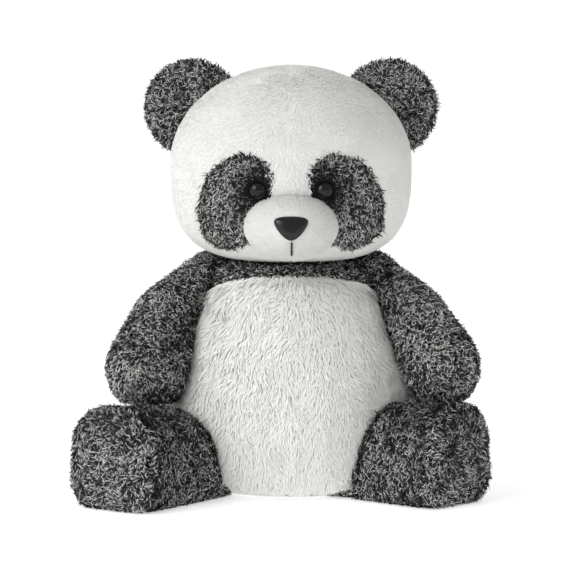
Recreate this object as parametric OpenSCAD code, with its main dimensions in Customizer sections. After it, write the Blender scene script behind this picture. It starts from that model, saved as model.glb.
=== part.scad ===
// Stuffed plush panda, sitting on the floor with its legs forward.
// The front is -Y, up is +Z, and the origin is in the middle of the flat seat.

/* [Head] */
// Width of the stuffed head, from cheek to cheek
head_w = 161; // [154:1:166]
// Depth of the stuffed head, without the muzzle
head_d = 124; // [120:1:130]
// Height of the stuffed head
head_h = 131; // [124:1:134]
// Height of the underside of the head above the floor
head_bottom = 156.5; // [156.5:0.5:161]
// Radius of the round ears
ear_r = 31; // [26:1:33]
// Thickness of the padded ears
ear_t = 15; // [12:1:17]
// Width of the muzzle
muzzle_w = 60; // [54:1:66]
// Height of the muzzle
muzzle_h = 43; // [40:1:46]
// Diameter of the safety eyes
eye_d = 12; // [10:0.5:13]
// Width of the plastic nose
nose_w = 22; // [18:1:24]

/* [Body] */
// Width of the stuffed body at the belly
body_w = 170; // [160:1:176]
// Depth of the stuffed body at the belly
body_d = 143; // [134:1:148]
// Height of the body from the seat to the neck seam
body_h = 155.5; // [152:0.5:155.5]
// Thickness of the plush fabric with its backing
fabric_t = 2; // [1.5:0.1:2.4]

/* [Arms] */
// Radius of the shoulder end of an arm
shoulder_r = 20; // [18:0.5:20]
// Radius of the left paw; the right one lies a little flatter
paw_r = 27.5; // [26:0.5:29]

/* [Legs] */
// Width of a foot
foot_w = 69; // [62:1:71]
// Height of a foot
foot_h = 67; // [62:1:67]
// Angle that the left foot is turned out
left_splay = 37; // [34:1:42]
// Angle that the right foot is turned out
right_splay = 50; // [42:1:52]

/* [Hidden] */

$fn = 22;
limb_sides = 16;
stitch_sides = 10;
left = -1;
right = 1;
seam_gap = 0.15;
loft_gap = 0.3;
body_gap = 0.8;
socket_gap = 1.4;
bag_gap = 1.6;
big = 1200;
white = "whitesmoke";
grey = "dimgray";
fibre = "ivory";

// Places of the head and the ears
head_y = -14;
head_z = head_bottom + head_h / 2;
cheek_power = 0.62;
ear_tilt = 39;
ear_y = 8;
ear_reach = 76;
ear_line = 29;

function shoulder(s) = [s * 54, 12, 140.5];
function elbow(s) = s == left ? [-84.5, -22, 116.5] : [82, -16, 118];
function paw(s) = s == left ? [-95, -45, 86] : [100, -40, 87];
function hip(s) = s == left ? [-63, -38, hip_h / 2] : [43, -30, hip_h / 2];
function splay(s) = s == left ? left_splay : right_splay;
function leg_reach(s) = s == left ? 82.5 : 80;
paw_drop = 2.2;
hip_r = 29;
hip_h = 42;

// Travel, in degrees, at which the parts are pared to stay clear; the joints move a little less
arm_travel = [0 : 15 : 45];
leg_travel = [-6 : 10 : 24];
ear_travel = [-20 : 20 : 20];

// Body outline from the seat up: height, width, depth and forward shift, as shares of the size
BODY = [
    [0.00, 0.61, 0.64, 0.00], [0.05, 0.81, 0.84, 0.02], [0.14, 0.94, 0.95, 0.04],
    [0.26, 1.00, 0.99, 0.055], [0.395, 1.00, 1.00, 0.06], [0.54, 0.93, 0.965, 0.06],
    [0.67, 0.83, 0.895, 0.055], [0.80, 0.72, 0.80, 0.045], [0.905, 0.63, 0.705, 0.03],
    [0.97, 0.54, 0.615, 0.02], [1.00, 0.42, 0.50, 0.015]
];

// Points of a level oval ring round p, with half width rx and half depth ry
function ring(p, rx, ry) = [for (i = [0 : $fn - 1]) p + [rx * cos(360 * i / $fn), ry * sin(360 * i / $fn), 0]];

// A slab between two level rings
module slab(low, high) {
    hull() polyhedron(points = concat(low, high), faces = [[for (i = [0 : 2 * $fn - 1]) i]]);
}

// A stack of slabs through a list of rings
module stack(rings) {
    for (i = [1 : len(rings) - 1])
        slab(rings[i - 1], rings[i]);
}

// The part of space in front of (side -1) or behind (side 1) the plane y = at
module half_y(at, side) {
    translate([-big / 2, side > 0 ? at : at - big, -big / 2]) cube(big);
}

// The part of space at one side of the plane x = at
module half_x(at, side) {
    translate([side > 0 ? at : at - big, -big / 2, -big / 2]) cube(big);
}

// ---- Outer forms; g grows a form all round, and a negative g shrinks it ----

function body_ring(k, g) =
    ring([0, -body_d * BODY[k][3], body_h * BODY[k][0] + (k == 0 ? -g : k == len(BODY) - 1 ? g : 0)],
         body_w * BODY[k][1] / 2 + g, body_d * BODY[k][2] / 2 + g);

module body_form(g = 0) {
    stack([for (k = [0 : len(BODY) - 1]) body_ring(k, g)]);
}

function head_ring(a, g) =
    let (e = a < 0 ? cheek_power : 1, r = max(pow(cos(a), e), 0.03), up = sign(a) * pow(abs(sin(a)), e))
    ring([0, head_y, head_z + (head_h / 2 + g) * up], (head_w / 2 + g) * r, (head_d / 2 + g) * r);

module head_form(g = 0) {
    stack([for (a = [-90 : 15 : 90]) head_ring(a, g)]);
}

module muzzle_form(g = 0) {
    translate([0, head_y - head_d / 2 + 8, head_z - 40])
        scale([muzzle_w / 2 + g, 23 + g, muzzle_h / 2 + g]) sphere(1);
}

function ear_root(s) = [s * ear_reach * cos(ear_line), ear_y, head_z + ear_reach * sin(ear_line)];

module turn_ear(s, a) {
    translate(ear_root(s)) rotate(a, [-s * sin(ear_tilt), 0, cos(ear_tilt)]) translate(-ear_root(s)) children();
}

module ear_form(s, g = 0) {
    difference() {
        translate(ear_root(s)) scale([ear_r + g, ear_t / 2 + g, ear_r + g]) sphere(1);
        for (a = ear_travel)
            turn_ear(s, a) head_form(body_gap - g);
    }
}

module turn_arm(s, a) {
    translate(shoulder(s)) rotate([a, 0, 0]) translate(-shoulder(s)) children();
}

module limb_end(p, r) {
    translate(p) sphere(r, $fn = limb_sides);
}

// The paw is a little flat from front to back
module paw_end(s, g) {
    across = s == left ? paw_r : paw_r - 2.5;
    translate(paw(s)) scale([across + g, paw_r - 3 + g, paw_r + g]) sphere(1, $fn = limb_sides);
}

// Everything below the height at which the paws rest on the legs, paw_drop under the top of the feet
module below_paws(g = 0) {
    translate([-big / 2, -big / 2, -big + foot_h - paw_drop + g]) cube(big);
}

module arm_form(s, g = 0) {
    limb_end(shoulder(s), shoulder_r + g);
    difference() {
        union() {
            hull() {
                limb_end(shoulder(s), shoulder_r + g);
                limb_end(elbow(s), shoulder_r + 1.5 + g);
            }
            hull() {
                limb_end(elbow(s), shoulder_r + 1.5 + g);
                paw_end(s, g);
            }
        }
        below_paws(-g);
        for (a = arm_travel)
            turn_arm(s, a) body_form(body_gap - g);
    }
}

module turn_leg(s, a) {
    translate(hip(s)) rotate([0, 0, -s * a]) translate(-hip(s)) children();
}

function foot(s) = hip(s) + leg_reach(s) * [s * sin(splay(s)), -cos(splay(s)), 0];

// Upright round end of a leg, flattened underneath where it rests on the floor
module hip_end(s, g) {
    hull() {
        translate(hip(s)) scale([hip_r + g, hip_r + g, hip_h / 2 + g]) sphere(1, $fn = limb_sides);
        translate([hip(s)[0], hip(s)[1], -g]) cylinder(r = hip_r - 8 + g, h = 1);
    }
}

// One cushioned corner of a foot, r high and as far from the middle as the foot's size allows
module foot_corner(x, r, z, g) {
    translate([x * (foot_w / 2 - r), 0, z]) scale([r + g, 11 + g, r + g]) sphere(1, $fn = limb_sides);
}

module foot_block(s, g) {
    translate([foot(s)[0], foot(s)[1], 0]) rotate([0, 0, s * splay(s)])
        for (x = [-1, 1]) {
            foot_corner(x, 17, 17, g);
            foot_corner(x, 27, foot_h - 27, g);
        }
}

module leg_form(s, g = 0) {
    hip_end(s, g);
    difference() {
        hull() {
            hip_end(s, g);
            foot_block(s, g);
        }
        for (a = leg_travel)
            turn_leg(s, a) body_form(body_gap - g);
    }
}

// Rooms left in the body for the shoulder and hip ends
module sockets() {
    for (s = [left, right]) {
        limb_end(shoulder(s), shoulder_r + socket_gap);
        hip_end(s, socket_gap);
    }
}

// ---- Head ----

// Direction in which a face piece points: turned out by out degrees and raised by up degrees
module aim(p, out, up) {
    translate(p) rotate([0, 0, out]) rotate([90 - up, 0, 0]) children();
}

function eye_place(s) = [s * 22.3, head_y - head_d / 2 + 3.9, head_z - 16];

module patch_cutter(s, g = 0) {
    translate([s * 36.5, head_y, head_z - 23.5]) rotate([90, -s * 20, 0])
        linear_extrude(big) scale([23.5 + g, 32.5 + g]) circle(1);
}

module eye_hole(s, d) {
    aim(eye_place(s), s * 17, -3) cylinder(d = d, h = 60, center = true);
}

module head_shell() {
    difference() {
        head_form();
        head_form(-fabric_t);
    }
}

module face_panel() color(white) {
    difference() {
        intersection() {
            head_shell();
            half_y(ear_y - seam_gap, -1);
        }
        muzzle_form(seam_gap);
        for (s = [left, right])
            patch_cutter(s, seam_gap);
    }
}

module head_back(s) color(white) {
    intersection() {
        head_shell();
        half_y(ear_y, 1);
        half_x(s * seam_gap / 2, s);
    }
}

module eye_patch(s) color(grey) {
    difference() {
        intersection() {
            head_shell();
            patch_cutter(s);
        }
        muzzle_form(seam_gap);
        eye_hole(s, 4.6);
        aim(eye_place(s), s * 17, -3) cylinder(d = eye_d + 0.6, h = 20);
    }
}

nose_place = [0, head_y - head_d / 2 - 13.6, head_z - 39];

module muzzle_panel() color(white) {
    difference() {
        muzzle_form();
        muzzle_form(-fabric_t);
        head_form(-fabric_t);
        aim(nose_place, 0, 12) cylinder(d = 5.6, h = 40, center = true);
        nose_bed();
    }
}

// Shallow flat in the muzzle that the nose sits on
module nose_bed() {
    aim(nose_place, 0, 12) translate([0, 0, -0.3]) linear_extrude(20) offset(0.4) nose_outline();
}

// Rounded triangle with its point down
module nose_outline() {
    hull() {
        for (s = [left, right])
            translate([s * (nose_w / 2 - 4.2), 2.8]) circle(4.2);
        translate([0, -5.6]) circle(3.6);
    }
}

module nose() color("#1d1d20") {
    aim(nose_place, 0, 12) {
        hull() {
            linear_extrude(1.6) nose_outline();
            translate([0, 0, 4.4]) linear_extrude(0.2) scale([0.62, 0.6]) nose_outline();
            translate([0, 0, 3.2]) linear_extrude(0.2) scale([0.86, 0.85]) nose_outline();
        }
        translate([0, 0, -13]) cylinder(d = 5, h = 13.2);
    }
}

module lock_washer(d, bore) {
    difference() {
        cylinder(d = d, h = 1.6);
        translate([0, 0, -1]) cylinder(d = bore, h = 4);
    }
}

module nose_washer() color("white")
    aim(nose_place, 0, 12) translate([0, 0, -6.8]) lock_washer(17, 5.1);

module eye(s) color("black")
    aim(eye_place(s), s * 17, -3) {
        rotate_extrude() intersection() {
            translate([0, -1]) scale([1, 0.86]) circle(d = eye_d);
            translate([0, 0.2]) square([eye_d, eye_d]);
        }
        translate([0, 0, -13]) cylinder(d = 4, h = 13.4);
    }

module eye_washer(s) color("white")
    aim(eye_place(s), s * 17, -3) translate([0, 0, -7]) lock_washer(14, 4.1);

// How far forward the muzzle's middle line stands at height z
function muzzle_front(z) = head_y - head_d / 2 + 8 - 23 * sqrt(1 - pow((z - head_z + 40) / (muzzle_h / 2), 2));

module mouth_stitches() color("#202022")
    for (top = [head_z - 49.6, head_z - 54.2])
        hull()
            for (z = [top, top - 3.6])
                translate([0.4, muzzle_front(z) - 1.05, z]) sphere(0.65, $fn = stitch_sides);

module head_filling() color(fibre) {
    g = -fabric_t - loft_gap;
    difference() {
        union() {
            head_form(g);
            muzzle_form(g);
        }
        aim(nose_place, 0, 12) {
            translate([0, 0, -14]) cylinder(d = 6, h = 30);
            translate([0, 0, -7.2]) cylinder(d = 18, h = 14);
        }
        for (s = [left, right])
            aim(eye_place(s), s * 17, -3) {
                translate([0, 0, -14]) cylinder(d = 5, h = 20);
                translate([0, 0, -7.4]) cylinder(d = 15, h = 9);
            }
    }
}

// ---- Ears ----

module ear_cover(s, side) {
    intersection() {
        difference() {
            ear_form(s);
            ear_form(s, -1.8);
        }
        half_y(ear_y + side * seam_gap / 2, side);
    }
}

module ear_front(s) color(grey) ear_cover(s, -1);

module ear_back(s) color(grey) ear_cover(s, 1);

module ear_padding(s) color(fibre) ear_form(s, -1.8 - loft_gap);

// ---- Body ----

// Space above the yoke seam, which drops from the chest to the back
module above_yoke(g = 0) {
    translate([0, -body_d * 0.35, body_h * 0.96 + g]) rotate([-15, 0, 0])
        translate([-big / 2, -big / 2, 0]) cube(big);
}

module body_shell() {
    difference() {
        body_form();
        body_form(-fabric_t);
        sockets();
    }
}

seat_edge = 5;
side_seam_y = 4;

module below_seat_edge(g = 0) {
    translate([-big / 2, -big / 2, -big + seat_edge + g]) cube(big);
}

module belly_panel() color(white) {
    difference() {
        intersection() {
            body_shell();
            half_y(side_seam_y - seam_gap, -1);
        }
        above_yoke(-seam_gap);
        below_seat_edge(seam_gap);
    }
}

module back_panel(s) color(white) {
    difference() {
        intersection() {
            body_shell();
            half_y(side_seam_y, 1);
            half_x(s * seam_gap / 2, s);
        }
        above_yoke(-seam_gap);
        below_seat_edge(seam_gap);
    }
}

module shoulder_yoke() color(grey) {
    intersection() {
        body_shell();
        above_yoke();
    }
}

module seat_panel() color(white) {
    intersection() {
        body_shell();
        below_seat_edge();
    }
}

module tail() color(white) {
    difference() {
        translate([0, body_d / 2 - 9, 32]) rotate([-20, 0, 0]) scale([19, 17, 14]) sphere(1);
        body_form(loft_gap);
    }
}

module bag_form(g = 0) {
    translate([0, 31, 24]) scale([40 + g, 23 + g, 17 + g]) sphere(1);
}

// Slit in the filling behind the bag, through which it was pushed in from the back seam
module bag_slit() {
    translate([-25, 31, 21]) cube([50, body_d / 2, 6]);
}

module body_filling() color(fibre) {
    difference() {
        body_form(-fabric_t - loft_gap);
        bag_form(bag_gap);
        bag_slit();
        sockets();
    }
}

module pellet_bag() color("lightgray") {
    difference() {
        bag_form();
        bag_form(-1);
    }
}

module pellets() color("gainsboro") bag_form(-1.3);

// ---- Arms ----

// Plane through the middle of an arm, which parts its outer from its inner half
module arm_half(s, side) {
    turn = s == left ? 33 : 24;
    translate(elbow(s)) rotate([0, 0, s * turn]) half_x(side * seam_gap / 2, side);
}

module arm_cover(s) {
    difference() {
        arm_form(s);
        arm_form(s, -fabric_t);
    }
}

module arm_outer(s) color(grey) {
    intersection() {
        arm_cover(s);
        arm_half(s, s);
    }
}

module arm_inner(s) color(grey) {
    intersection() {
        arm_cover(s);
        arm_half(s, -s);
    }
}

module arm_filling(s) color(fibre) arm_form(s, -fabric_t - loft_gap);

// ---- Legs ----

module leg_cover(s) {
    difference() {
        leg_form(s);
        leg_form(s, -fabric_t);
    }
}

module leg_half(s, side) {
    translate(hip(s)) rotate([0, 0, s * splay(s)]) half_x(side * seam_gap / 2, side);
}

module sole_space(s, g = 0) {
    translate(foot(s)) rotate([0, 0, s * splay(s)]) half_y(-3 + g, -1);
}

module leg_side(s, side) color(grey) {
    difference() {
        intersection() {
            leg_cover(s);
            leg_half(s, side);
        }
        sole_space(s, seam_gap);
    }
}

module sole(s) color(grey) {
    intersection() {
        leg_cover(s);
        sole_space(s);
    }
}

module leg_filling(s) color(fibre) leg_form(s, -fabric_t - loft_gap);

face_panel();
head_back(left);  // head_back_left
head_back(right);  // head_back_right
eye_patch(left);  // eye_patch_left
eye_patch(right);  // eye_patch_right
muzzle_panel();
mouth_stitches();
nose();
nose_washer();
eye(left);  // eye_left
eye(right);  // eye_right
eye_washer(left);  // eye_washer_left
eye_washer(right);  // eye_washer_right
head_filling();
ear_front(left);  // ear_front_left
ear_back(left);  // ear_back_left
ear_padding(left);  // ear_padding_left
ear_front(right);  // ear_front_right
ear_back(right);  // ear_back_right
ear_padding(right);  // ear_padding_right
belly_panel();
back_panel(left);  // back_panel_left
back_panel(right);  // back_panel_right
shoulder_yoke();
seat_panel();
tail();
body_filling();
pellet_bag();
pellets();
arm_outer(left);  // arm_outer_left
arm_inner(left);  // arm_inner_left
arm_filling(left);  // arm_filling_left
arm_outer(right);  // arm_outer_right
arm_inner(right);  // arm_inner_right
arm_filling(right);  // arm_filling_right
leg_side(left, right);  // leg_inner_left
leg_side(left, left);  // leg_outer_left
sole(left);  // sole_left
leg_filling(left);  // leg_filling_left
leg_side(right, left);  // leg_inner_right
leg_side(right, right);  // leg_outer_right
sole(right);  // sole_right
leg_filling(right);  // leg_filling_right
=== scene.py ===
"""Looks of a stuffed plush panda: its covers with their pile, its eyes, its nose and its stitches."""

import math

import bmesh
import bpy
import numpy as np
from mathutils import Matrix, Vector


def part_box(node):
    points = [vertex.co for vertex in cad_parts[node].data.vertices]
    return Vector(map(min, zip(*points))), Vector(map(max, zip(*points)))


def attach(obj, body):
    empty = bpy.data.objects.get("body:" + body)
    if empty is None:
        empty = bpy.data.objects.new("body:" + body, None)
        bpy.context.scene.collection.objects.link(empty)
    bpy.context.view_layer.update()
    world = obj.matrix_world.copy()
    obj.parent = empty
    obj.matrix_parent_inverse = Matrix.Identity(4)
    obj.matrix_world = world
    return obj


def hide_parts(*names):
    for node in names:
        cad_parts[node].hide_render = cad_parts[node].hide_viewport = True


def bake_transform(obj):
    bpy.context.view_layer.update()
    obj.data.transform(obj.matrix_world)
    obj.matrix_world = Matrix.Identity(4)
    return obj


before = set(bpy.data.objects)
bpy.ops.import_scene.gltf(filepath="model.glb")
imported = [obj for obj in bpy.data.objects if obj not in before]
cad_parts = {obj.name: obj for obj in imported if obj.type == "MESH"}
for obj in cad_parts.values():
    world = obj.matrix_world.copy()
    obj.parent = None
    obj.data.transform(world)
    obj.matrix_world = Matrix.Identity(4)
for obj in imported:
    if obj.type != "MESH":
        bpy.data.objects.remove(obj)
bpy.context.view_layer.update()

# ---- Studio ----
# The toy sits on a pale sweep of paper. A broad lamp at the front left lights it, a weaker one
# fills the right, and white walls all round lift the shadows. The camera is low and far away.

scene = bpy.context.scene
scene.view_settings.view_transform = "Standard"

camera_rise, camera_distance = math.radians(4.3), 2.0
back = Vector((0, -math.cos(camera_rise), math.sin(camera_rise)))
up = Vector((0, math.sin(camera_rise), math.cos(camera_rise)))
toy_middle = Vector((0, 0, 0.14))
aim = Vector((-0.002, 0, 0.145)) - 0.0084 * up
camera_data = bpy.data.cameras.new("camera")
camera_data.lens, camera_data.sensor_width = 183.8, 36
camera = bpy.data.objects.new("camera", camera_data)
camera.location = aim + camera_distance * back
camera.rotation_euler = (-back).to_track_quat("-Z", "Y").to_euler()
scene.collection.objects.link(camera)
scene.camera = camera


def lamp(name, place, size, watts):
    """A square soft lamp at place, turned to face the middle of the toy."""
    data = bpy.data.lights.new(name, "AREA")
    data.size, data.energy = size, watts
    lit = bpy.data.objects.new(name, data)
    lit.location = place
    lit.rotation_euler = (toy_middle - Vector(place)).to_track_quat("-Z", "Y").to_euler()
    scene.collection.objects.link(lit)


lamp("key_lamp", (-1.5, -1.25, 1.15), 1.5, 27)
lamp("fill_lamp", (1.5, -0.9, 0.8), 1.2, 0.6)

surround = bpy.data.worlds.new("surround")
surround.use_nodes = True
scene.world = surround
walls = surround.node_tree.nodes["Background"]
seen = surround.node_tree.nodes.new("ShaderNodeLightPath")
brightness = surround.node_tree.nodes.new("ShaderNodeMapRange")
brightness.inputs["To Min"].default_value = 0.6
brightness.inputs["To Max"].default_value = 1.1
surround.node_tree.links.new(seen.outputs["Is Camera Ray"], brightness.inputs["Value"])
surround.node_tree.links.new(brightness.outputs["Result"], walls.inputs["Strength"])
walls.inputs["Color"].default_value = (1, 1, 1, 1)

paper = bpy.data.materials.new("paper")
paper.use_nodes = True
paper_shader = paper.node_tree.nodes["Principled BSDF"]
paper_shader.inputs["Base Color"].default_value = (0.93, 0.93, 0.93, 1)
paper_shader.inputs["Roughness"].default_value = 0.9
paper_shader.inputs["Specular IOR Level"].default_value = 0.1
paper_shader.inputs["Emission Color"].default_value = (1, 1, 1, 1)
paper_shader.inputs["Emission Strength"].default_value = 0.5
sweep = bpy.data.meshes.new("floor")
sweep.from_pydata([(-6, -4, 0), (6, -4, 0), (6, 9, 0), (-6, 9, 0)], [], [(0, 1, 2, 3)])
sweep.materials.append(paper)
floor = bpy.data.objects.new("floor", sweep)
scene.collection.objects.link(floor)

# ---- Head ----
# The head is a cushion of short white plush in a face panel and two back panels, sewn together
# over the ears and down the back. The pile is brushed down and outwards from the middle.

MM = 0.001
head_middle = np.array([0, -14, 222]) * MM
head_half = np.array([80.5, 62, 65.5]) * MM
cheek_power = 0.62
ear_seam_y = 8 * MM
fabric = 1.4 * MM
both_sides = ((-1, "left"), (1, "right"))
chance = np.random.default_rng(7)


def grid_faces(rows, columns):
    """Triangles of a closed tube of points, rows from end to end and columns round it, two to a cell."""
    i, j = np.meshgrid(np.arange(rows - 1), np.arange(columns), indexing="ij")
    a, b = i * columns + j, i * columns + (j + 1) % columns
    c, d = b + columns, a + columns
    return np.concatenate([np.stack([a, b, c], -1).reshape(-1, 3), np.stack([a, c, d], -1).reshape(-1, 3)])


def closed(points):
    """A rows by columns grid of points round an upright axis, with a pole added at each end, and its
    triangles."""
    rows, columns = points.shape[:2]
    bottom, top = points[0].mean(0), points[-1].mean(0)
    whole = np.concatenate([points.reshape(-1, 3), [bottom, top]])
    turn = np.arange(columns)
    after, end = (turn + 1) % columns, rows * columns
    low = np.stack([np.full(columns, end), after, turn], -1)
    high = np.stack([np.full(columns, end + 1), turn + end - columns, after + end - columns], -1)
    return whole, np.concatenate([grid_faces(rows, columns), low, high])


def corner_normals(points, faces):
    """The area-weighted mean of the face normals round each point."""
    a, b, c = (points[faces[:, k]] for k in range(3))
    square = np.cross(b - a, c - a)
    total = np.stack([
        sum(np.bincount(faces[:, k], square[:, axis], len(points)) for k in range(3)) for axis in range(3)
    ], -1)
    return total / np.maximum(np.linalg.norm(total, axis=1, keepdims=True), 1e-12)


def swell(points, size):
    """Smooth random waves: twelve sines of about the given wavelength in random directions, added up and
    divided by 2.45 so that their spread is one."""
    ways = chance.normal(size=(12, 3)) * (3.6 / size)
    starts = chance.uniform(0, 2 * np.pi, 12)
    return np.sin(points @ ways.T + starts).sum(1) / 2.45


def groove(points, normals, distance, depth, width):
    """A cover drawn in along its seams: a bell curve of the distance from the seam, times the depth."""
    return points - normals * (depth * np.exp(-((distance / width) ** 2)))[:, None]


def scatter(points, normals, faces, spacing):
    """Random roots over the triangles, one to each square of that spacing, with the normals there."""
    a, b, c = (points[faces[:, k]] for k in range(3))
    area = np.linalg.norm(np.cross(b - a, c - a), axis=1) / 2
    count = int(area.sum() / spacing**2)
    at = np.searchsorted(np.cumsum(area), (np.arange(count) + chance.random(count)) * area.sum() / count)
    at = np.minimum(at, len(area) - 1)
    u, v = chance.random(count), chance.random(count)
    u, v = np.where(u + v > 1, 1 - u, u)[:, None], np.where(u + v > 1, 1 - v, v)[:, None]
    root = a[at] * (1 - u - v) + b[at] * u + c[at] * v
    side = [normals[faces[at, k]] for k in range(3)]
    out = side[0] * (1 - u - v) + side[1] * u + side[2] * v
    return root, out / np.linalg.norm(out, axis=1, keepdims=True)


def across(ways, normals):
    """The part of each way that lies along the surface, at unit length."""
    flat = ways - normals * (ways * normals).sum(1, keepdims=True)
    return flat / np.maximum(np.linalg.norm(flat, axis=1, keepdims=True), 1e-9)


root_depth = 0.2 * MM
floor_gap = 0.4 * MM


def tufts(root, normal, comb, length, width, lean, spread, curl, round_by=0.75, slope=0.55, twist=0.45,
          loose=0.16, rows=3):
    """Tapered ribbons of pile. At share t of its length a ribbon leans from the normal by an angle that
    grows from lean[0] to lean[1], give or take loose, and it has turned from the combed way by its own
    spread plus its own curl times t. Its middle line is the running sum of those directions, and its width
    falls to nothing at the tip. Its normals fan out by round_by from side to side, so that it shades as a
    round lock, and tip forward by slope. Twist rolls each ribbon about its own length."""
    count = len(root)
    way = across(comb, normal)
    aside = np.cross(normal, way)
    first = chance.normal(0, spread, count)
    bend = chance.normal(0, curl, count)
    tilt = lean[0] + chance.normal(0, loose, count)
    twist = chance.normal(0, twist, count)
    middle, rings, normals = root - normal * root_depth, [], []
    for k in range(rows + 1):
        t = k / rows
        turn = first + bend * t
        angle = np.clip(tilt + (lean[1] - lean[0]) * t, 0.05, 1.62)
        flat = way * np.cos(turn)[:, None] + aside * np.sin(turn)[:, None]
        ahead = normal * np.cos(angle)[:, None] + flat * np.sin(angle)[:, None]
        side = np.cross(ahead, normal)
        side /= np.maximum(np.linalg.norm(side, axis=1, keepdims=True), 1e-9)
        over = np.cross(side, ahead)
        side = side * np.cos(twist)[:, None] + over * np.sin(twist)[:, None]
        half = (width / 2 * math.sqrt(max(1 - t**2, 0)))[:, None]
        shade = over * slope + normal
        if k < rows:
            rings += [middle - side * half, middle + side * half]
            normals += [shade - side * round_by, shade + side * round_by]
        else:
            rings.append(middle)
            normals.append(shade)
        middle = middle + ahead * (length / rows)[:, None]
    points = np.stack(rings, 1).reshape(-1, 3)
    shade = np.stack(normals, 1).reshape(-1, 3)
    shade /= np.linalg.norm(shade, axis=1, keepdims=True)
    low = np.arange(rows - 1)[:, None] * 2
    one = np.concatenate([low + [0, 1, 3], low + [0, 3, 2], [[2 * rows - 2, 2 * rows - 1, 2 * rows]]])
    faces = (one[None] + (np.arange(count) * (2 * rows + 1))[:, None, None]).reshape(-1, 3)
    reach = np.tile(np.append(np.repeat(np.arange(rows) / rows, 2), 1.0), count)
    points[:, 2] = np.maximum(points[:, 2], floor_gap)
    return points, faces, shade, reach


def cover(node, skin, pile, tone, material):
    """One panel as a mesh: the fabric, its back face with a hem joining the two, and its pile. The points
    carry how far along the pile they are, and how light their tuft is."""
    points, faces, normals = skin
    used = np.unique(faces)
    renumber = np.zeros(len(points), int)
    renumber[used] = np.arange(len(used))
    points, normals, faces = points[used], normals[used], renumber[faces]
    sides = np.concatenate([faces[:, [0, 1]], faces[:, [1, 2]], faces[:, [2, 0]]])
    key = sides[:, 0] * len(points) + sides[:, 1]
    open_sides = sides[~np.isin(key, sides[:, 1] * len(points) + sides[:, 0])]
    n = len(points)
    a, b = open_sides[:, 0], open_sides[:, 1]
    hem = np.concatenate([np.stack([b, a, a + n], -1), np.stack([b, a + n, b + n], -1)])
    skin_faces = np.concatenate([faces, faces[:, ::-1] + n, hem])
    hair, hair_faces, hair_normals, reach = pile
    every = np.concatenate([points, points - normals * fabric, hair])
    every[:, 2] = np.maximum(every[:, 2], 0)
    corners = np.concatenate([skin_faces, hair_faces + 2 * n])
    shade = np.concatenate([normals, -normals, hair_normals])
    mesh = bpy.data.meshes.new(node + "_plush")
    mesh.vertices.add(len(every))
    mesh.vertices.foreach_set("co", every.astype(np.float32).ravel())
    mesh.loops.add(corners.size)
    mesh.loops.foreach_set("vertex_index", corners.astype(np.int32).ravel())
    mesh.polygons.add(len(corners))
    mesh.polygons.foreach_set("loop_start", np.arange(0, corners.size, 3, dtype=np.int32))
    mesh.update(calc_edges=True)
    mesh.shade_smooth()
    mesh.normals_split_custom_set_from_vertices(shade)
    along = mesh.attributes.new("reach", "FLOAT", "POINT")
    along.data.foreach_set("value", np.concatenate([np.zeros(2 * n), reach]).astype(np.float32))
    light = mesh.attributes.new("tone", "FLOAT", "POINT")
    tone = np.repeat(tone, len(hair) // len(tone))
    light.data.foreach_set("value", np.concatenate([np.full(2 * n, 0.5), tone]).astype(np.float32))
    mesh.materials.append(material)
    made = bpy.data.objects.new(node + "_plush", mesh)
    scene.collection.objects.link(made)
    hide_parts(node)
    return made


def plush(name, base, tip, start, sheen, mottle=0.05):
    """Plush: the fibres go from the base colour to the tip colour past the start, lighter and darker tuft by
    tuft, and the mottle darkens patches of it by that share."""
    material = bpy.data.materials.new(name)
    material.use_nodes = True
    nodes, links = material.node_tree.nodes, material.node_tree.links
    shader = nodes["Principled BSDF"]
    colour = nodes.new("ShaderNodeGroup")
    colour.node_tree = pile_colour
    colour.inputs["Base"].default_value = (*base, 1)
    colour.inputs["Tip"].default_value = (*tip, 1)
    colour.inputs["Start"].default_value = start
    colour.inputs["Mottle"].default_value = 1 - mottle
    links.new(colour.outputs["Colour"], shader.inputs["Base Color"])
    links.new(colour.outputs["Roughness"], shader.inputs["Roughness"])
    shader.inputs["Specular IOR Level"].default_value = 0.08
    shader.inputs["Sheen Weight"].default_value = sheen
    shader.inputs["Sheen Roughness"].default_value = 0.5
    return material


pile_colour = bpy.data.node_groups.new("pile_colour", "ShaderNodeTree")
for socket, way, kind in (("Base", "INPUT", "Color"), ("Tip", "INPUT", "Color"), ("Start", "INPUT", "Float"),
                          ("Mottle", "INPUT", "Float"), ("Colour", "OUTPUT", "Color"),
                          ("Roughness", "OUTPUT", "Float")):
    pile_colour.interface.new_socket(name=socket, in_out=way, socket_type="NodeSocket" + kind)
add, join = pile_colour.nodes.new, pile_colour.links.new
given, made = add("NodeGroupInput"), add("NodeGroupOutput")
reach, tone = add("ShaderNodeAttribute"), add("ShaderNodeAttribute")
reach.attribute_name, tone.attribute_name = "reach", "tone"
place, patches, fibre = add("ShaderNodeTexCoord"), add("ShaderNodeTexNoise"), add("ShaderNodeTexNoise")
patches.inputs["Scale"].default_value, fibre.inputs["Scale"].default_value = 38, 900
join(place.outputs["Object"], patches.inputs["Vector"])
join(place.outputs["Object"], fibre.inputs["Vector"])
rise = add("ShaderNodeMapRange")
rise.interpolation_type = "SMOOTHSTEP"
join(reach.outputs["Fac"], rise.inputs["Value"])
join(given.outputs["Start"], rise.inputs["From Min"])
blend = add("ShaderNodeMix")
blend.data_type = "RGBA"
lighter = add("ShaderNodeMath")
lighter.operation = "MULTIPLY"
join(rise.outputs["Result"], lighter.inputs[0])
join(tone.outputs["Fac"], lighter.inputs[1])
join(lighter.outputs[0], blend.inputs["Factor"])
join(given.outputs["Base"], blend.inputs["A"])
join(given.outputs["Tip"], blend.inputs["B"])
mottle = add("ShaderNodeMapRange")
mottle.inputs["From Min"].default_value, mottle.inputs["From Max"].default_value = 0.3, 0.7
mottle.inputs["To Max"].default_value = 1.02
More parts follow.
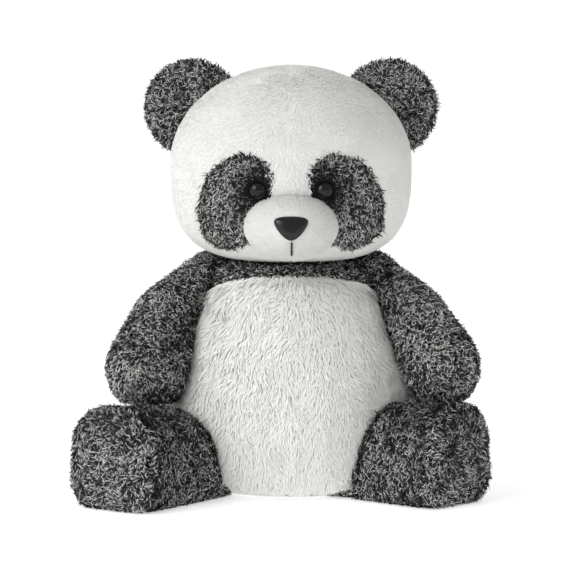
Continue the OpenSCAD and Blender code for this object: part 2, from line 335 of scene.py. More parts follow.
join(given.outputs["Mottle"], mottle.inputs["To Min"])
join(patches.outputs["Fac"], mottle.inputs["Value"])
speck = add("ShaderNodeMapRange")
speck.inputs["To Min"].default_value, speck.inputs["To Max"].default_value = 0.9, 1.1
join(fibre.outputs["Fac"], speck.inputs["Value"])
both = add("ShaderNodeMath")
both.operation = "MULTIPLY"
join(mottle.outputs["Result"], both.inputs[0])
join(speck.outputs["Result"], both.inputs[1])
final = add("ShaderNodeVectorMath")
final.operation = "SCALE"
join(blend.outputs["Result"], final.inputs[0])
join(both.outputs[0], final.inputs["Scale"])
join(final.outputs["Vector"], made.inputs["Colour"])
rough = add("ShaderNodeMapRange")
rough.inputs["To Min"].default_value, rough.inputs["To Max"].default_value = 0.95, 0.72
join(reach.outputs["Fac"], rough.inputs["Value"])
join(rough.outputs["Result"], made.inputs["Roughness"])

white_plush = plush("white_plush", (0.78, 0.78, 0.755), (0.845, 0.845, 0.825), 0.0, 0.08)


def head_form(rows=100, columns=160):
    """The head at latitude a and longitude b: half its width, depth and height, with cos and sin of a raised
    to the cheek power below the middle, which makes the cheeks full."""
    a = np.linspace(-np.pi / 2, np.pi / 2, rows + 2)[1:-1, None]
    b = np.linspace(0, 2 * np.pi, columns, endpoint=False)[None]
    power = np.where(a < 0, cheek_power, 1.0)
    wide = np.cos(a) ** power
    x = head_half[0] * wide * np.cos(b)
    y = head_half[1] * wide * np.sin(b)
    z = head_half[2] * np.sign(a) * np.abs(np.sin(a)) ** power + 0 * b
    return closed(np.stack([x, y, z], -1) + head_middle)


def eye_place(s):
    """The middle of an eye on side s, which is -1 or 1."""
    return np.array([s * 22.3, -72.1, 206]) * MM


patch_x, patch_z = 36.5 * MM, 198.5 * MM
patch_half_width, patch_half_height, patch_mean_half = 23.5 * MM, 32.5 * MM, 27 * MM


def patch_depth(points, s):
    """How far inside the outline of an eye patch a point is: an oval that leans inwards at its top."""
    lean = math.radians(20 * s)
    x, z = points[:, 0] - s * patch_x, points[:, 2] - patch_z
    u = x * math.cos(lean) + z * math.sin(lean)
    v = -x * math.sin(lean) + z * math.cos(lean)
    away = np.sqrt((u / patch_half_width) ** 2 + (v / patch_half_height) ** 2)
    return np.where(points[:, 1] < 0, (1 - away) * patch_mean_half, -1.0)


muzzle_middle = np.array([0, -68, 182]) * MM
muzzle_half = np.array([30, 23, 21.5]) * MM
muzzle_mean_half, muzzle_front_y = 24 * MM, -82 * MM


def muzzle_depth(points):
    """How far inside the muzzle's oval form a point is."""
    away = np.sqrt((((points - muzzle_middle) / muzzle_half) ** 2).sum(1))
    return (1 - away) * muzzle_mean_half


head_points, head_faces = head_form()
head_normals = corner_normals(head_points, head_faces)
patch_edge = np.minimum(np.abs(patch_depth(head_points, -1)), np.abs(patch_depth(head_points, 1)))
head_points = groove(head_points, head_normals, patch_edge, 0.7 * MM, 3 * MM)
head_points = groove(head_points, head_normals, np.abs(muzzle_depth(head_points)), 1.5 * MM, 4 * MM)
back_edge = np.where(head_points[:, 1] > ear_seam_y, np.abs(head_points[:, 0]), 1.0)
head_points = groove(head_points, head_normals, back_edge, 1.2 * MM, 3 * MM)
head_points = groove(head_points, head_normals, head_points[:, 1] - ear_seam_y, 0.8 * MM, 3 * MM)
for s in (-1, 1):
    to_eye = np.linalg.norm(head_points - eye_place(s), axis=1)
    head_points = groove(head_points, head_normals, to_eye, 2.2 * MM, 12 * MM)
head_normals = corner_normals(head_points, head_faces)
head_centres = head_points[head_faces].mean(1)
in_muzzle = muzzle_depth(head_centres) > 0
in_patch = {s: (patch_depth(head_centres, s) > 0) & ~in_muzzle for s in (-1, 1)}
in_front = head_centres[:, 1] < ear_seam_y
on_face = in_front & ~in_muzzle & ~in_patch[-1] & ~in_patch[1]


def brushed(root):
    """Down the face and out from its middle, with slow waves."""
    way = np.tile([0, 0.5, -0.8], (len(root), 1))
    way[:, 0] = root[:, 0] * 9 + 0.3 * swell(root, 0.03) + 0.15 * np.sign(root[:, 0])
    return way


def head_pile(faces):
    """Dense pile that lies nearly flat, about 4 mm long in front and 5 mm behind, and how light each tuft
    of it is."""
    root, normal = scatter(head_points, head_normals, faces, 0.85 * MM)
    behind = np.clip(root[:, 1] / (30 * MM), 0, 1)
    long = (3.8 + behind + 0.3 * swell(root, 0.012) + chance.normal(0, 0.3, len(root))) * MM
    wide = chance.uniform(0.6, 1.0, len(root)) * MM
    made = tufts(root, normal, brushed(root), np.maximum(long, 2 * MM), wide, (1.3, 1.47), 0.3, 0.35,
                 round_by=0.38, slope=0.3, twist=0.1, loose=0.05 + 0.04 * behind, rows=2)
    return made, np.clip(chance.normal(0.7, 0.16, len(root)), 0, 1.1)


white_head = [("face_panel", on_face), ("head_back_left", ~in_front & (head_centres[:, 0] < 0)),
              ("head_back_right", ~in_front & (head_centres[:, 0] >= 0))]
for node, part in white_head:
    pile, light = head_pile(head_faces[part])
    piece = cover(node, (head_points, head_faces[part], head_normals), pile, light, white_plush)
    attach(piece, "head")

# ---- Eye patches ----
# Two ovals of grey plush let into the face. The fibres are near black at the root and light grey
# at the tip, so the pile looks flecked. It is clipped short round the eyes.

grey_plush = plush("grey_plush", (0.010, 0.010, 0.011), (0.95, 0.95, 0.92), 0.1, 0.02, mottle=0.2)
bare_ring = 7.2


def grey_pile(points, normals, faces, comb, spacing=0.9, length=4.8, clear=None, tint=None):
    """Curly two-tone pile, and how light each tuft of it is: ribbons about 5 mm long that turn as they go,
    two in five of them pale and the rest near black. The tint, worked out from the roots, makes stretches
    of it lighter or darker. Round the clear point is a bare ring, then short pile, combed outwards."""
    root, normal = scatter(points, normals, faces, spacing * MM)
    short = np.ones(len(root))
    if clear is not None:
        near = np.linalg.norm(root - clear, axis=1) / MM
        keep = near > bare_ring
        root, normal, near = root[keep], normal[keep], near[keep]
        short = np.clip((near - 4) / 12, 0.3, 1)
    way = comb(root)
    if clear is not None:
        way = way + (root - clear) / MM / 12 * np.exp(-((near / 12) ** 2))[:, None] * 6
    count = len(root)
    long = (length + chance.normal(0, 1.0, count)) * short * MM
    wide = chance.uniform(0.7, 1.2, count) * MM
    pale = chance.random(count) < 0.39 + 0.08 * swell(root, 0.015)
    light = np.clip(chance.normal(np.where(pale, 0.84, 0.06), np.where(pale, 0.2, 0.05)), 0.01, 1.1)
    light *= 0.3 + 0.7 * short
    if tint is not None:
        light = np.minimum(light * tint(root), 1.1)
    long = np.maximum(long * np.where(pale, 1.1, 0.9), 1.5 * MM)
    wide = wide * np.where(pale, 0.75, 1.2)
    return tufts(root, normal, way, long, wide, (1.02, 1.56), 0.8, 2.1), light


for s, side in both_sides:
    node = "eye_patch_" + side

    def hanging(root):
        """Down the patch, with waves."""
        return np.stack([0.5 * swell(root, 0.015), -0.2 + 0 * root[:, 0], -1 + 0.4 * swell(root, 0.02)], -1)

    def round_eye(root, s=s):
        """Darker round the eye and along the edge of the patch."""
        off_eye = np.linalg.norm(root - eye_place(s), axis=1) / MM
        inset = patch_depth(root, s) / MM
        return (1 - 0.75 * np.exp(-((off_eye / 14) ** 2))) * (0.55 + 0.4 * np.clip(inset / 6, 0, 1))

    faces = head_faces[in_patch[s]]
    pile, light = grey_pile(head_points, head_normals, faces, hanging, spacing=0.8, length=4.6,
                            clear=eye_place(s), tint=round_eye)
    piece = cover(node, (head_points, faces, head_normals), pile, light, grey_plush)
    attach(piece, "head")

# ---- Muzzle ----
# A small oval cushion of clipped white plush sewn to the face. Its pile is brushed back from the
# nose and is kept clear of the nose and of the mouth stitches.

nose_place = np.array([0, -89.6, 183]) * MM
clipped_plush = plush("clipped_white_plush", (0.67, 0.67, 0.65), (0.73, 0.73, 0.715), 0.0, 0.05)


def oval_form(middle, half, rows=60, columns=90, tilt=0.0):
    """An oval at latitude a and longitude b: cos a cos b, cos a sin b and sin a times its three half sizes,
    tipped about the X axis."""
    a = np.linspace(-np.pi / 2, np.pi / 2, rows + 2)[1:-1, None]
    b = np.linspace(0, 2 * np.pi, columns, endpoint=False)[None]
    x = half[0] * np.cos(a) * np.cos(b)
    y = half[1] * np.cos(a) * np.sin(b)
    z = half[2] * np.sin(a) + 0 * b
    y, z = y * math.cos(tilt) - z * math.sin(tilt), y * math.sin(tilt) + z * math.cos(tilt)
    return closed(np.stack([x, y, z], -1) + middle)


def inside_head(points, slack=0.0):
    """True where a point is inside the head's form, grown by slack."""
    away = (points - head_middle) / (head_half + slack)
    power = np.where(away[:, 2] < 0, 2 / cheek_power, 2.0)
    level = np.sqrt(away[:, 0] ** 2 + away[:, 1] ** 2)
    return level**power + np.abs(away[:, 2]) ** power < 1


mouth_top, mouth_bottom = 175 * MM, 163.5 * MM
bare_nose_half_width, bare_nose_half_height, bare_mouth = 12.4, 9.5, 1.3
muzzle_points, muzzle_faces = oval_form(muzzle_middle, muzzle_half)
muzzle_normals = corner_normals(muzzle_points, muzzle_faces)
to_mouth = np.hypot(muzzle_points[:, 0], np.maximum(muzzle_points[:, 2] - mouth_top, 0))
to_mouth = np.where(muzzle_points[:, 1] < muzzle_middle[1], to_mouth, 1.0)
muzzle_points = groove(muzzle_points, muzzle_normals, to_mouth, 0.5 * MM, 2.5 * MM)
muzzle_normals = corner_normals(muzzle_points, muzzle_faces)
shown = ~inside_head(muzzle_points[muzzle_faces].mean(1), -2 * MM)
muzzle_faces = muzzle_faces[shown]
root, normal = scatter(muzzle_points, muzzle_normals, muzzle_faces, 0.75 * MM)
over_nose = root[:, 2] - nose_place[2]
off_nose = np.hypot(root[:, 0] / bare_nose_half_width, over_nose / bare_nose_half_height) / MM
below_mouth = np.clip(root[:, 2], mouth_bottom, mouth_top) - root[:, 2]
off_mouth = np.hypot(root[:, 0] - 0.4 * MM, below_mouth) / MM
fits = (root[:, 1] > muzzle_front_y) | ((off_nose > 1) & (off_mouth > bare_mouth))
root, normal, off_nose = root[fits], normal[fits], off_nose[fits]
way = root - nose_place + np.array([0, 0.004, -0.004]) + 0.002 * swell(root, 0.01)[:, None]
long = np.clip(1.6 + 1.6 * (off_nose - 1), 1.4, 3.6) * MM * chance.uniform(0.8, 1.15, len(root))
pile = tufts(root, normal, way, long, chance.uniform(0.6, 1.0, len(root)) * MM, (1.2, 1.47), 0.35, 0.3,
             round_by=0.4, slope=0.35, twist=0.15, loose=0.12, rows=2)
light = np.clip(chance.normal(0.7, 0.2, len(root)), 0, 1.1)
piece = cover("muzzle_panel", (muzzle_points, muzzle_faces, muzzle_normals), pile, light, clipped_plush)
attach(piece, "head")

# ---- Eyes, nose and mouth ----
# Safety eyes and a safety nose are moulded plastic on ribbed shafts, held inside the head by
# washers that snap on. The eyes are glossy black, the nose is satin, and the mouth is black thread.


def plain(name, colour, roughness, grain, wear=0.06, shine=0.5):
    """A plain finish for the plastic, the thread and the inner parts: its dye and its roughness vary a
    little, the roughness by the wear, and there is a fine grain in its height."""
    material = bpy.data.materials.new(name)
    material.use_nodes = True
    nodes, links = material.node_tree.nodes, material.node_tree.links
    shader = nodes["Principled BSDF"]
    place = nodes.new("ShaderNodeTexCoord")
    cloud, fine = nodes.new("ShaderNodeTexNoise"), nodes.new("ShaderNodeTexNoise")
    cloud.inputs["Scale"].default_value, fine.inputs["Scale"].default_value = 260, 2600
    links.new(place.outputs["Object"], cloud.inputs["Vector"])
    links.new(place.outputs["Object"], fine.inputs["Vector"])
    mix = nodes.new("ShaderNodeMix")
    mix.data_type = "RGBA"
    mix.inputs["A"].default_value = (*colour, 1)
    mix.inputs["B"].default_value = (*[c * 1.5 + 0.004 for c in colour], 1)
    links.new(cloud.outputs["Fac"], mix.inputs["Factor"])
    links.new(mix.outputs["Result"], shader.inputs["Base Color"])
    dull = nodes.new("ShaderNodeMapRange")
    dull.inputs["To Min"].default_value, dull.inputs["To Max"].default_value = roughness, roughness + wear
    links.new(cloud.outputs["Fac"], dull.inputs["Value"])
    links.new(dull.outputs["Result"], shader.inputs["Roughness"])
    bump = nodes.new("ShaderNodeBump")
    bump.inputs["Strength"].default_value, bump.inputs["Distance"].default_value = grain, 0.0002
    links.new(fine.outputs["Fac"], bump.inputs["Height"])
    links.new(bump.outputs["Normal"], shader.inputs["Normal"])
    shader.inputs["Specular IOR Level"].default_value = shine
    return material


def finish_nodes(material, *names):
    """Gives these solids of the model the material."""
    for name in names:
        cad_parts[name].data.materials.clear()
        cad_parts[name].data.materials.append(material)


eye_plastic = plain("eye_plastic", (0.001, 0.001, 0.001), 0.05, 0.0, wear=0.04, shine=0.3)
finish_nodes(eye_plastic, "eye_left", "eye_right")
finish_nodes(plain("washer_plastic", (0.72, 0.72, 0.70), 0.45, 0.2), "nose_washer", "eye_washer_left",
             "eye_washer_right")


def nose_form(columns=72):
    """A rounded triangle, point down, domed in front and flat behind, on a round shaft. At angle b its
    outline is 11.4 cos b (1 + 0.28 sin b) / 1.06 across and 8 sin b + 1.2 cos 2b up, in millimetres. Each
    row is that outline times a share, or a circle for the shaft, at its own height above the muzzle."""
    b = np.linspace(0, 2 * np.pi, columns, endpoint=False)
    across_nose = 11.4 * np.cos(b) * (1 + 0.28 * np.sin(b)) / 1.06
    up_nose = 8 * np.sin(b) + 1.2 * np.cos(2 * b)
    outline = np.stack([across_nose, up_nose], -1)
    ring = np.stack([2.5 * np.cos(b), 2.5 * np.sin(b)], -1)
    arc = np.linspace(np.pi / 2, 0.05, 16)
    dome = np.stack([np.sin(arc), 0.9 + 3.9 * np.cos(arc) ** 0.85], -1)
    foot = np.array([[0.9, -0.3], [0.965, 0.0], [0.99, 0.35]])
    rows = [np.c_[ring, np.full(columns, height)] for height in (-13, -12.9, -0.4)]
    for share, height in np.concatenate([foot, dome]):
        rows.append(np.c_[outline * share, np.full(columns, height)])
    points, faces = closed(np.stack(rows))
    tilt = math.radians(78)
    y = points[:, 1] * math.cos(tilt) - points[:, 2] * math.sin(tilt)
    z = points[:, 1] * math.sin(tilt) + points[:, 2] * math.cos(tilt)
    return np.stack([points[:, 0], y, z], -1) * MM + nose_place, faces


nose_points, nose_faces = nose_form()
nose_mesh = bpy.data.meshes.new("nose_button")
nose_mesh.from_pydata(nose_points, [], nose_faces.tolist())
nose_mesh.shade_smooth()
nose_mesh.materials.append(plain("nose_plastic", (0.002, 0.002, 0.0025), 0.18, 0.2, shine=0.38))
nose_button = bpy.data.objects.new("nose_button", nose_mesh)
scene.collection.objects.link(nose_button)
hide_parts("nose")
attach(nose_button, "head")
finish_nodes(plain("thread", (0.012, 0.012, 0.013), 0.75, 0.8), "mouth_stitches")

# ---- Ears ----
# Each ear is a flat round cushion of grey plush, a front and a back sewn together at the rim and
# into the head. The pile fans out from the head to the rim.

ear_half = np.array([31, 7.5, 31]) * MM


def darker(root):
    """The tint of the ears, the same all over."""
    return 0.78


for s, side in both_sides:
    ear_middle = np.array([s * 66.47, 8, 258.85]) * MM
    points, faces = oval_form(ear_middle, ear_half, rows=40, columns=70)
    normals = corner_normals(points, faces)
    hollow = np.linalg.norm(points - ear_middle, axis=1)
    points = groove(points, normals, np.where(points[:, 1] < ear_seam_y, hollow, 1.0), 1.2 * MM, 16 * MM)
    normals = corner_normals(points, faces)
    faces = faces[~inside_head(points[faces].mean(1), -1 * MM)]
    centres = points[faces].mean(1)

    def fanned(root):
        """Out from the middle of the head, mostly within the flat of the ear."""
        rim = root - head_middle
        rim[:, 1] *= 0.2
        waves = np.stack([swell(root, 0.02), 0 * root[:, 0], swell(root, 0.02)], -1)
        return rim / np.linalg.norm(rim, axis=1, keepdims=True) + 0.45 * waves

    for part, half in (("front", centres[:, 1] < ear_seam_y), ("back", centres[:, 1] >= ear_seam_y)):
        node = f"ear_{part}_{side}"
        pile, light = grey_pile(points, normals, faces[half], fanned, spacing=0.85, length=5.2, tint=darker)
        piece = cover(node, (points, faces[half], normals), pile, light, grey_plush)
        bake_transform(piece)

# ---- Body ----
# The body is a pear-shaped cushion: a long-haired white belly panel, two white back panels, a white
# seat and a grey yoke over the shoulders. Inside are loose fibre and a bag of beads in the seat.

body_size = np.array([170, 143, 155.5]) * MM
body_height = np.array([0, 0.05, 0.14, 0.26, 0.395, 0.54, 0.67, 0.80, 0.905, 0.97, 1])
body_width = np.array([0.61, 0.81, 0.94, 1, 1, 0.93, 0.83, 0.72, 0.63, 0.54, 0.42])
body_depth = np.array([0.64, 0.84, 0.95, 0.99, 1, 0.965, 0.895, 0.80, 0.705, 0.615, 0.50])
body_shift = np.array([0, 0.02, 0.04, 0.055, 0.06, 0.06, 0.055, 0.045, 0.03, 0.02, 0.015])
side_seam_y = 4 * MM
seat_seam_z = 5 * MM
shoulder_socket = 21.4 * MM
hip_socket = np.array([30, 30, 22]) * MM
hip_foot_radius, hip_foot_top = 22 * MM, 20 * MM
yoke_seam_y, yoke_seam_z, yoke_tilt = -50 * MM, 149.3 * MM, math.radians(15)


def shoulder(s):
    """The middle of the shoulder seam on side s."""
    return np.array([s * 54, 12, 140.5]) * MM


def hip(s):
    """The middle of the hip on side s. The toy sits a little unevenly."""
    return np.array([[-63, -38, 21], [43, -30, 21]][s > 0]) * MM


def station(values, at):
    """A smooth curve through the values at the body's stations: cubic pieces whose slope at each station is
    the mean of the slopes beside it."""
    slope = np.gradient(values, body_height)
    k = np.clip(np.searchsorted(body_height, at, side="right") - 1, 0, len(body_height) - 2)
    span = body_height[k + 1] - body_height[k]
    t = (at - body_height[k]) / span
    return ((2 * t**3 - 3 * t**2 + 1) * values[k] + (t**3 - 2 * t**2 + t) * span * slope[k]
            + (3 * t**2 - 2 * t**3) * values[k + 1] + (t**3 - t**2) * span * slope[k + 1])


def body_form(rows=110, columns=160):
    """Level ovals up the body: the half width and the half depth follow the stations, and the middle of each
    oval moves forward by the shift."""
    at = (1 - np.cos(np.linspace(0, np.pi, rows))) / 2
    b = np.linspace(0, 2 * np.pi, columns, endpoint=False)
    x = body_size[0] / 2 * station(body_width, at)[:, None] * np.cos(b)
    forward = (body_size[1] * station(body_shift, at))[:, None]
    y = body_size[1] / 2 * station(body_depth, at)[:, None] * np.sin(b) - forward
    z = body_size[2] * at[:, None] + 0 * b
    return closed(np.stack([x, y, z], -1))


def above_yoke(points):
    """How far a point is above the yoke seam, a plane that drops to the back."""
    return ((points[:, 2] - yoke_seam_z) * math.cos(yoke_tilt)
            + (points[:, 1] - yoke_seam_y) * math.sin(yoke_tilt))


body_points, body_faces = body_form()
body_normals = corner_normals(body_points, body_faces)
for distance, depth in ((above_yoke(body_points), 1.5), (body_points[:, 1] - side_seam_y, 1.2),
                        (np.where(body_points[:, 1] > side_seam_y, body_points[:, 0], 1.0), 1.2)):
    body_points = groove(body_points, body_normals, distance, depth * MM, 4 * MM)
body_points += body_normals * (0.5 * MM * swell(body_points, 0.05))[:, None] * (body_points[:, 2:] > 8 * MM)
body_normals = corner_normals(body_points, body_faces)
centres = body_points[body_faces].mean(1)
in_socket = np.zeros(len(centres), bool)
for s in (-1, 1):
    in_socket |= np.linalg.norm(centres - shoulder(s), axis=1) < shoulder_socket
    in_socket |= (((centres - hip(s)) / hip_socket) ** 2).sum(1) < 1
    off_hip = np.linalg.norm((centres - hip(s))[:, :2], axis=1)
    in_socket |= (off_hip < hip_foot_radius) & (centres[:, 2] < hip_foot_top)
on_yoke = above_yoke(centres) > 0
on_seat = centres[:, 2] < seat_seam_z
front = centres[:, 1] < side_seam_y


def downward(root):
    """Down the body, parting a little to each side, with waves that gather the pile into locks."""
    aside = root[:, 0] * 3 + 0.35 * swell(root, 0.018)
    return np.stack([aside, 0.3 * swell(root, 0.02), np.full(len(root), -1.0)], -1)


def long_pile(points, normals, faces, length, spacing):
    """Long pile combed downwards, shorter near the floor, and how light each tuft is."""
    root, normal = scatter(points, normals, faces, spacing * MM)
    count = len(root)
    lift = np.clip(root[:, 2] / (12 * MM), 0.6, 1)
    long = length + 0.15 * length * swell(root, 0.012) + chance.normal(0, 0.8, count)
    long = np.maximum(long, 2) * MM * lift
    comb = downward(root)
    wide = chance.uniform(0.7, 1.2, count) * MM
    made = tufts(root, normal, comb, long, wide, (1.14, 1.49), 0.2, 0.3, round_by=0.2, slope=0.2, twist=0.15,
                 loose=0.08)
    return made, np.clip(chance.normal(0.75, 0.14, count), 0, 1.1)


longer_plush = plush("long_white_plush", (0.83, 0.83, 0.80), (0.93, 0.93, 0.91), 0.0, 0.08)
body_parts = [
    ("belly_panel", front & ~on_yoke & ~on_seat, longer_plush, 8.0, 1.0),
    ("back_panel_left", ~front & ~on_yoke & ~on_seat & (centres[:, 0] < 0), white_plush, 6.0, 1.2),
    ("back_panel_right", ~front & ~on_yoke & ~on_seat & (centres[:, 0] >= 0), white_plush, 6.0, 1.2),
    ("seat_panel", on_seat, white_plush, 3.0, 1.6),
]
for node, part, material, length, spacing in body_parts:
    faces = body_faces[part & ~in_socket]
    pile, light = long_pile(body_points, body_normals, faces, length, spacing)
    piece = cover(node, (body_points, faces, body_normals), pile, light, material)
    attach(piece, "torso")

# Under the head the yoke is bare fabric, because the head presses its pile flat there.
faces = body_faces[on_yoke & ~in_socket]
in_the_open = ~inside_head(body_points[faces].mean(1), 2.5 * MM)
pile, light = grey_pile(body_points, body_normals, faces[in_the_open], downward)
piece = cover("shoulder_yoke", (body_points, faces, body_normals), pile, light, grey_plush)
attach(piece, "torso")

# ---- Tail ----
# A short round tail of white plush is sewn low on the back seam.

tail_middle = np.array([0, 62.5, 32]) * MM
tail_half = np.array([19, 17, 14]) * MM
points, faces = oval_form(tail_middle, tail_half, 30, 50, tilt=math.radians(-20))
normals = corner_normals(points, faces)
outside = points[faces].mean(1)[:, 1] > 58 * MM
pile, light = long_pile(points, normals, faces[outside], 6.0, 1.0)
piece = cover("tail", (points, faces, normals), pile, light, white_plush)
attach(piece, "torso")

# ---- Arms ----
# Each arm is a long cushion of grey plush in an outer and an inner half, sewn to the shoulder. It
# hangs down and forward, and the paw rests just above the leg.

swell_by = 2.6 * MM
loose_gap, seam_gap = 2.4 * MM, 1.6 * MM


def points_of(mesh):
    """The mesh's points as one array."""
    points = np.zeros(len(mesh.vertices) * 3, np.float32)
    mesh.vertices.foreach_get("co", points)
    return points.reshape(-1, 3).astype(float)


def triangles_of(mesh):
    """The mesh's faces as one array of triangles."""
    mesh.calc_loop_triangles()
    faces = np.zeros(len(mesh.loop_triangles) * 3, np.int32)
    mesh.loop_triangles.foreach_get("vertices", faces)
    return faces.reshape(-1, 3)


def stuffed(node):
    """A cover blown up over its filling. The filling's solid is remeshed, smoothed, swollen by a cloth
    simulation under pressure, held within swell_by of where it began, and subdivided once."""
    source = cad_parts[node]
    mesh = source.data.copy()
    shaper = bmesh.new()
    shaper.from_mesh(mesh)
    bmesh.ops.remove_doubles(shaper, verts=shaper.verts, dist=1e-5)
    bmesh.ops.recalc_face_normals(shaper, faces=shaper.faces)
    shaper.to_mesh(mesh)
    shaper.free()
    bag = bpy.data.objects.new(node + "_bag", mesh)
    scene.collection.objects.link(bag)
    remesh = bag.modifiers.new("remesh", "REMESH")
    remesh.mode, remesh.voxel_size = "VOXEL", 4 * MM
    smooth = bag.modifiers.new("smooth", "SMOOTH")
    smooth.factor, smooth.iterations = 0.5, 6
    bpy.context.view_layer.update()
    even = bpy.data.meshes.new_from_object(bag.evaluated_get(bpy.context.evaluated_depsgraph_get()))
    bag.modifiers.clear()
    bag.data = even
    start = points_of(even)
    cloth = bag.modifiers.new("cloth", "CLOTH")
    cloth.settings.use_pressure = True
    cloth.settings.uniform_pressure_force = 4
    cloth.settings.effector_weights.gravity = 0
    cloth.settings.tension_stiffness = 12
    for step in range(1, 21):
        scene.frame_set(step)
    move = points_of(bag.evaluated_get(bpy.context.evaluated_depsgraph_get()).data) - start
    far = np.linalg.norm(move, axis=1, keepdims=True)
    start = start + move * np.minimum(1, swell_by / np.maximum(far, 1e-9))
    bag.modifiers.clear()
    scene.frame_set(1)
    even.vertices.foreach_set("co", start.astype(np.float32).ravel())
    finer = bag.modifiers.new("finer", "SUBSURF")
    finer.levels = finer.render_levels = 1
    bpy.context.view_layer.update()
    whole = bpy.data.meshes.new_from_object(bag.evaluated_get(bpy.context.evaluated_depsgraph_get()))
    bpy.data.objects.remove(bag)
    points = points_of(whole)
    points[:, 2] = np.maximum(points[:, 2], 0.5 * MM)
    return points, triangles_of(whole)


def clear_of(node, points, faces, gap):
    """The same points, but where one is nearer than the gap to the filling, it is pushed straight out to the
    gap, so that the filling never shows through."""
    mesh = bpy.data.meshes.new(node + "_cover")
    mesh.from_pydata(points, [], faces.tolist())
    held = bpy.data.objects.new(node + "_cover", mesh)
    scene.collection.objects.link(held)
    wrap = held.modifiers.new("wrap", "SHRINKWRAP")
    wrap.target, wrap.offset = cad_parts[node], gap
    wrap.wrap_method, wrap.wrap_mode = "NEAREST_SURFACEPOINT", "OUTSIDE"
    bpy.context.view_layer.update()
    moved = points_of(held.evaluated_get(bpy.context.evaluated_depsgraph_get()).data)
    bpy.data.objects.remove(held)
    return moved


def elbow(s):
    """The bend of the arm on side s."""
    return np.array([[-84.5, -22, 116.5], [82, -16, 118]][s > 0]) * MM


def paw(s):
    """The middle of the paw on side s."""
    return np.array([[-95, -45, 86], [100, -40, 87]][s > 0]) * MM


for s, side in both_sides:
    turn = math.radians(s * (33 if s < 0 else 24))
    sideways = np.array([math.cos(turn), math.sin(turn), 0])
    points, faces = stuffed("arm_filling_" + side)
    normals = corner_normals(points, faces)
    off_seam = (points - elbow(s)) @ sideways
    points = clear_of("arm_filling_" + side, points, faces, loose_gap)
    points = groove(points, normals, off_seam, 1.2 * MM, 3 * MM)
    points = clear_of("arm_filling_" + side, points, faces, seam_gap)
    normals = corner_normals(points, faces)
    beyond = ((points[faces].mean(1) - elbow(s)) @ sideways) * s

    def along_arm(root, s=s):
        """Down the upper arm, then on towards the paw, with waves."""
        upper = (root[:, 2] > elbow(s)[2])[:, None]
        way = np.where(upper, elbow(s) - shoulder(s), paw(s) - elbow(s))
        way = way / np.linalg.norm(way, axis=1, keepdims=True)
        return way + 0.5 * np.stack([swell(root, 0.02) for _ in range(3)], -1)

    def painted_inner_shade_tint(root, s=s, sideways=sideways):
        """Painted shade: lighter overall, and darker towards the inner side of the arm, where shade falls.
        """
        return np.clip(1.25 + 0.014 * ((root - elbow(s)) @ sideways) * s / MM, 0.65, 1.5)

    for part, half in (("outer", beyond > 0), ("inner", beyond <= 0)):
        node = f"arm_{part}_{side}"
        # The tint paints shade on the inner side of the arm.
        pile, light = grey_pile(points, normals, faces[half], along_arm, tint=painted_inner_shade_tint)
        piece = cover(node, (points, faces[half], normals), pile, light, grey_plush)
        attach(piece, "arm_" + side)

# ---- Legs ----
# Each leg is a thick cushion of grey plush, an inner and an outer side with an oval sole sewn on the
# end. It lies flat on the floor, turned out from the hip, and the thigh swells up to meet the paw.

paw_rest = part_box("arm_inner_left")[0][2]
paw_gap = 1.4 * MM
thigh_rise, thigh_place, thigh_length = 9 * MM, 34 * MM, 26 * MM
rim_from_foot = 3 * MM

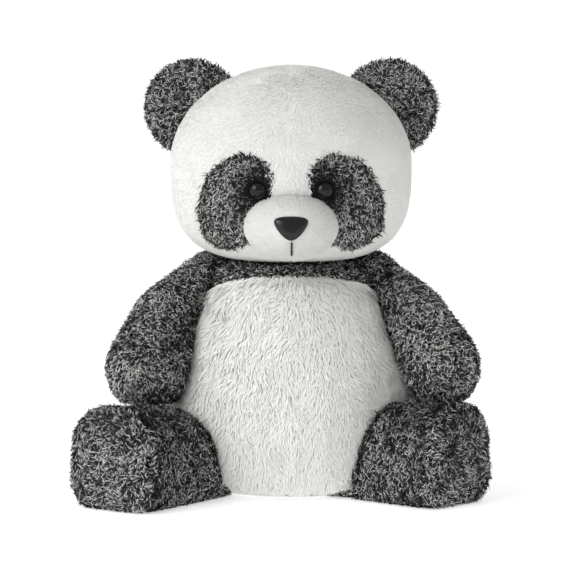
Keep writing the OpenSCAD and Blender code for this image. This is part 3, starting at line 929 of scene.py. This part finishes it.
for s, side in both_sides:
    splay = math.radians(37 if s < 0 else 50) * s
    sideways = np.array([math.cos(splay), math.sin(splay), 0])
    ahead = np.array([math.sin(splay), -math.cos(splay), 0])
    foot = hip(s) + (82.5 if s < 0 else 80) * MM * ahead
    points, faces = stuffed("leg_filling_" + side)
    points = clear_of("leg_filling_" + side, points, faces, loose_gap)
    normals = corner_normals(points, faces)
    off_thigh = ((points - hip(s)) @ ahead - thigh_place) / thigh_length
    raised = points[:, 2] + thigh_rise * np.exp(-(off_thigh**2)) * np.clip(normals[:, 2], 0, 1)
    points[:, 2] = np.maximum(points[:, 2], np.minimum(raised, paw_rest - paw_gap))
    past_rim = (points - foot) @ ahead - rim_from_foot
    middle_seam = np.where(past_rim < 0, (points - hip(s)) @ sideways, 1.0)
    points = groove(points, normals, past_rim - 2.5 * MM, -1.2 * MM, 3 * MM)
    points = groove(points, normals, past_rim + 2.5 * MM, 2.6 * MM, 3.5 * MM)
    points = groove(points, normals, middle_seam, 1.2 * MM, 3 * MM)
    points = clear_of("leg_filling_" + side, points, faces, seam_gap)
    normals = corner_normals(points, faces)
    centres = points[faces].mean(1)
    on_sole = (centres - foot) @ ahead > rim_from_foot
    off_middle = (centres - hip(s)) @ sideways

    def along_leg(root, ahead=ahead):
        """Towards the foot and a little down, with waves."""
        return ahead + np.array([0, 0, -0.3]) + 0.6 * np.stack([swell(root, 0.02) for _ in range(3)], -1)

    def over_sole(root):
        """Mostly in waves, a little downwards."""
        return np.array([0, 0, -0.4]) + np.stack([swell(root, 0.022) for _ in range(3)], -1)

    leg_parts = [(f"leg_inner_{side}", ~on_sole & (off_middle * s < 0), along_leg),
                 (f"leg_outer_{side}", ~on_sole & (off_middle * s >= 0), along_leg),
                 (f"sole_{side}", on_sole, over_sole)]

    def painted_rim_light_and_shade(root, foot=foot, ahead=ahead):
        """Painted light: a painted highlight along the rim of the sole, painted shade in the groove behind
        it, and painted shade on the sides, which are a little darker than the sole and darker still towards
        the top.
        """
        past = ((root - foot) @ ahead - rim_from_foot) / MM
        # Painted shade: the sides darker than the sole, and darker towards the top.
        flat = np.where(past < 0, 0.88, 0.95) * (1 - 0.4 * np.clip((root[:, 2] / MM - 42) / 18, 0, 1))
        return flat + 0.4 * np.exp(-((past - 2.5) / 2.2) ** 2) - 0.65 * np.exp(-((past + 2.5) / 3) ** 2)

    for node, part, comb in leg_parts:
        # The tint paints a highlight on the sole's rim, and shade in its groove and over the top of the leg.
        pile, light = grey_pile(points, normals, faces[part], comb, tint=painted_rim_light_and_shade)
        piece = cover(node, (points, faces[part], normals), pile, light, grey_plush)
        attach(piece, "leg_" + side)

# ---- Filling ----
# Loose polyester fibre fills every cushion, and a cotton bag of plastic beads weights the seat.

fillings = [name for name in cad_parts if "filling" in name or "padding" in name]
finish_nodes(plain("fibre", (0.80, 0.79, 0.76), 0.9, 1.0), *fillings)
finish_nodes(plain("bag_cloth", (0.55, 0.55, 0.52), 0.85, 0.8), "pellet_bag")
finish_nodes(plain("bead_plastic", (0.62, 0.62, 0.6), 0.4, 0.5), "pellets")
